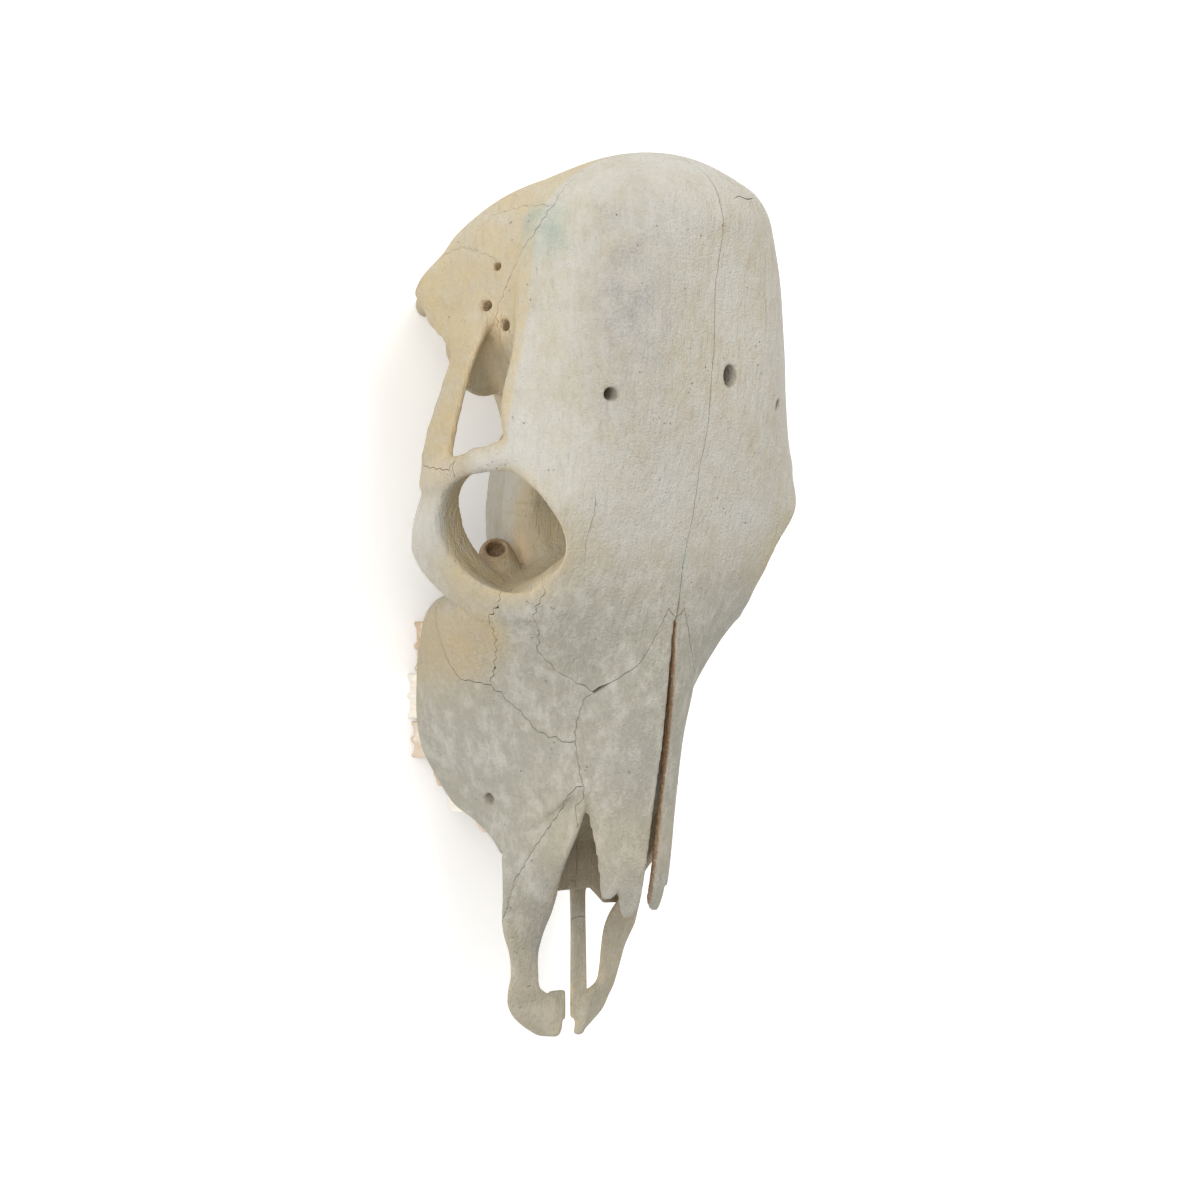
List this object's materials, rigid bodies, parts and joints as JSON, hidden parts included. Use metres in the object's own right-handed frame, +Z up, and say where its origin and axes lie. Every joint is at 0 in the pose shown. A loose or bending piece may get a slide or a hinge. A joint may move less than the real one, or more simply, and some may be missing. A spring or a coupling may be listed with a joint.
{
  "type": "polled cow skull without lower jaw",
  "caption": "Weathered hornless cow skull without its lower jaw, parted along its sutures, resting on cheek teeth and skull base.",
  "frame": {"origin": "on the floor under the middle of the skull's box", "axes": "+X to the animal's left, +Y to the back of the head, +Z up"},
  "size_m": [0.2084, 0.4365, 0.1713],
  "materials": {
    "bone": "matte"
  },
  "bodies": {
    "root": {"nasal_right": "bone", "nasal_left": "bone", "frontal_right": "bone", "frontal_left": "bone", "incisive_right": "bone", "incisive_left": "bone", "lacrimal_right": "bone", "lacrimal_left": "bone", "zygomatic_right": "bone", "zygomatic_left": "bone", "temporal_right": "bone", "temporal_left": "bone", "palatine_right": "bone", "palatine_left": "bone", "maxilla_right": "bone", "maxilla_left": "bone", "parietal": "bone", "occipital": "bone", "sphenoid": "bone"}
  },
  "joints": []
}
